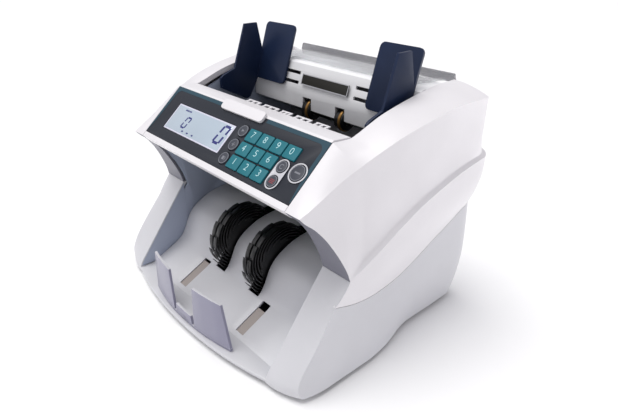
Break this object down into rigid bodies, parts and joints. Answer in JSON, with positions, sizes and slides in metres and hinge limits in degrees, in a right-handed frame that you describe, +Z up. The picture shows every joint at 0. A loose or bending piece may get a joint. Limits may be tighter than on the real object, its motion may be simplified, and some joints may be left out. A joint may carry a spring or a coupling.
{
  "type": "banknote counting machine",
  "caption": "Desktop banknote counter with a top hopper, two sliding note guides, a sloping keypad and display, and a front stacker with finger wheels.",
  "frame": {"origin": "on the table under the middle of the machine's bounding box", "axes": "+X to the machine's right seen from the front, -Y is the front, +Z up"},
  "size_m": [0.268, 0.226, 0.2195],
  "materials": {
    "white_shell": "warm white moulded plastic, fine grain",
    "grey_shell": "light lilac-grey moulded plastic",
    "hopper_sheet": "light grey plastic sheet",
    "dark_label": "dark plain label",
    "lilac_fence": "lilac-grey plastic",
    "bare_steel": "plain sheet and turned steel",
    "foot_rubber": "soft rubber feet",
    "drum_rubber": "grippy rubber",
    "clear_sheet": "clear plastic sheet",
    "smoky_plastic": "smoky clear plastic",
    "black_plastic": "black plastic",
    "brass_roller": "brass-coloured rollers",
    "green_board": "circuit board",
    "slate_panel": "printed keypad panel",
    "teal_key": "soft teal keys",
    "dark_button": "soft dark buttons",
    "silver_trim": "silver printed rings",
    "screen_bezel": "pale bezel",
    "screen_face": "pale blue-grey display",
    "navy_guide": "dark navy translucent plastic"
  },
  "bodies": {
    "frame": {"upper_shell": "white_shell", "base_shell": "grey_shell", "stacker_floor": "grey_shell", "rear_panel": "grey_shell", "hopper_plate": "hopper_sheet", "label_plate": "dark_label", "note_fence": "lilac_fence", "side_frame_left": "bare_steel", "side_frame_right": "bare_steel", "base_plate": "bare_steel", "motor": "bare_steel", "power_supply": "bare_steel", "foot_front_left": "foot_rubber", "foot_front_right": "foot_rubber", "foot_rear_left": "foot_rubber", "foot_rear_right": "foot_rubber", "drive_belt": "drum_rubber", "note_tray": "clear_sheet", "tray_rim": "smoky_plastic", "feed_guide": "black_plastic", "throat_guide": "black_plastic", "power_inlet": "black_plastic", "switch_body": "black_plastic", "main_board": "green_board"},
    "cover": {"front_cover": "white_shell", "control_panel": "slate_panel", "pill_ring": "silver_trim", "start_ring": "silver_trim", "screen_frame": "screen_bezel", "screen_glass": "screen_face", "key_board": "green_board"},
    "guide_left": {"note_guide_left": "navy_guide"},
    "guide_right": {"note_guide_right": "navy_guide"},
    "wheels": {"wheel_shaft": "bare_steel", "stacking_wheel_left": "black_plastic", "stacking_wheel_right": "black_plastic"},
    "pickup": {"pickup_shaft": "bare_steel", "pickup_rollers": "brass_roller"},
    "drum": {"drum_shaft": "bare_steel", "counting_drum": "drum_rubber", "drum_pulley": "black_plastic"},
    "motor_drive": {"motor_shaft": "bare_steel", "motor_pulley": "black_plastic"},
    "rocker": {"power_switch": "black_plastic"},
    "b_key_1": {"key_1": "teal_key"},
    "b_key_2": {"key_2": "teal_key"},
    "b_key_3": {"key_3": "teal_key"},
    "b_key_4": {"key_4": "teal_key"},
    "b_key_5": {"key_5": "teal_key"},
    "b_key_6": {"key_6": "teal_key"},
    "b_key_7": {"key_7": "teal_key"},
    "b_key_8": {"key_8": "teal_key"},
    "b_key_9": {"key_9": "teal_key"},
    "b_key_0": {"key_0": "teal_key"},
    "b_key_mode": {"key_mode": "dark_button"},
    "b_key_add": {"key_add": "dark_button"},
    "b_key_print": {"key_print": "dark_button"},
    "b_key_clear": {"key_clear": "dark_button"},
    "b_key_batch": {"key_batch": "dark_button"},
    "b_key_start": {"key_start": "dark_button"}
  },
  "joints": [
    {"name": "cover_hinge", "type": "hinge", "parent": "frame", "child": "cover", "pos_m": [0, -0.066, 0.134], "axis": [1, 0, 0], "range_deg": [0, 75]},
    {"name": "guide_left_slide", "type": "slide", "parent": "frame", "child": "guide_left", "axis": [1, 0, 0], "range_m": [0, 0.02]},
    {"name": "guide_right_slide", "type": "slide", "parent": "frame", "child": "guide_right", "axis": [-1, 0, 0], "range_m": [0, 0.02]},
    {"name": "wheel_spin", "type": "hinge", "parent": "frame", "child": "wheels", "pos_m": [0, -0.03, 0.045], "axis": [1, 0, 0], "continuous": true},
    {"name": "drum_spin", "type": "hinge", "parent": "frame", "child": "drum", "pos_m": [0, 0.022, 0.104], "axis": [1, 0, 0], "continuous": true},
    {"name": "pickup_spin", "type": "hinge", "parent": "frame", "child": "pickup", "pos_m": [0, 0.051, 0.1505], "axis": [1, 0, 0], "continuous": true},
    {"name": "motor_spin", "type": "hinge", "parent": "frame", "child": "motor_drive", "pos_m": [0, 0.062, 0.042], "axis": [1, 0, 0], "continuous": true},
    {"name": "rocker_tilt", "type": "hinge", "parent": "frame", "child": "rocker", "pos_m": [-0.044, 0.104, 0.064], "axis": [0, 0, -1], "range_deg": [0, 14]},
    {"name": "key_1_press", "type": "slide", "parent": "cover", "child": "b_key_1", "axis": [0, 0.661, -0.7503], "range_m": [0, 0.0008], "stiffness_N_per_m": 800},
    {"name": "key_2_press", "type": "slide", "parent": "cover", "child": "b_key_2", "axis": [0, 0.661, -0.7503], "range_m": [0, 0.0008], "stiffness_N_per_m": 800},
    {"name": "key_3_press", "type": "slide", "parent": "cover", "child": "b_key_3", "axis": [0, 0.661, -0.7503], "range_m": [0, 0.0008], "stiffness_N_per_m": 800},
    {"name": "key_4_press", "type": "slide", "parent": "cover", "child": "b_key_4", "axis": [0, 0.661, -0.7503], "range_m": [0, 0.0008], "stiffness_N_per_m": 800},
    {"name": "key_5_press", "type": "slide", "parent": "cover", "child": "b_key_5", "axis": [0, 0.661, -0.7503], "range_m": [0, 0.0008], "stiffness_N_per_m": 800},
    {"name": "key_6_press", "type": "slide", "parent": "cover", "child": "b_key_6", "axis": [0, 0.661, -0.7503], "range_m": [0, 0.0008], "stiffness_N_per_m": 800},
    {"name": "key_7_press", "type": "slide", "parent": "cover", "child": "b_key_7", "axis": [0, 0.661, -0.7503], "range_m": [0, 0.0008], "stiffness_N_per_m": 800},
    {"name": "key_8_press", "type": "slide", "parent": "cover", "child": "b_key_8", "axis": [0, 0.661, -0.7503], "range_m": [0, 0.0008], "stiffness_N_per_m": 800},
    {"name": "key_9_press", "type": "slide", "parent": "cover", "child": "b_key_9", "axis": [0, 0.661, -0.7503], "range_m": [0, 0.0008], "stiffness_N_per_m": 800},
    {"name": "key_0_press", "type": "slide", "parent": "cover", "child": "b_key_0", "axis": [0, 0.661, -0.7503], "range_m": [0, 0.0008], "stiffness_N_per_m": 800},
    {"name": "key_mode_press", "type": "slide", "parent": "cover", "child": "b_key_mode", "axis": [0, 0.661, -0.7503], "range_m": [0, 0.0008], "stiffness_N_per_m": 800},
    {"name": "key_add_press", "type": "slide", "parent": "cover", "child": "b_key_add", "axis": [0, 0.661, -0.7503], "range_m": [0, 0.0008], "stiffness_N_per_m": 800},
    {"name": "key_print_press", "type": "slide", "parent": "cover", "child": "b_key_print", "axis": [0, 0.661, -0.7503], "range_m": [0, 0.0008], "stiffness_N_per_m": 800},
    {"name": "key_clear_press", "type": "slide", "parent": "cover", "child": "b_key_clear", "axis": [0, 0.661, -0.7503], "range_m": [0, 0.0008], "stiffness_N_per_m": 800},
    {"name": "key_batch_press", "type": "slide", "parent": "cover", "child": "b_key_batch", "axis": [0, 0.661, -0.7503], "range_m": [0, 0.0008], "stiffness_N_per_m": 800},
    {"name": "key_start_press", "type": "slide", "parent": "cover", "child": "b_key_start", "axis": [0, 0.661, -0.7503], "range_m": [0, 0.0008], "stiffness_N_per_m": 800}
  ],
  "couplings": [
    {"joint": "pickup_spin", "follows": "drum_spin", "ratio": 1.5},
    {"joint": "motor_spin", "follows": "drum_spin", "ratio": 2},
    {"joint": "wheel_spin", "follows": "drum_spin", "ratio": -0.25}
  ]
}
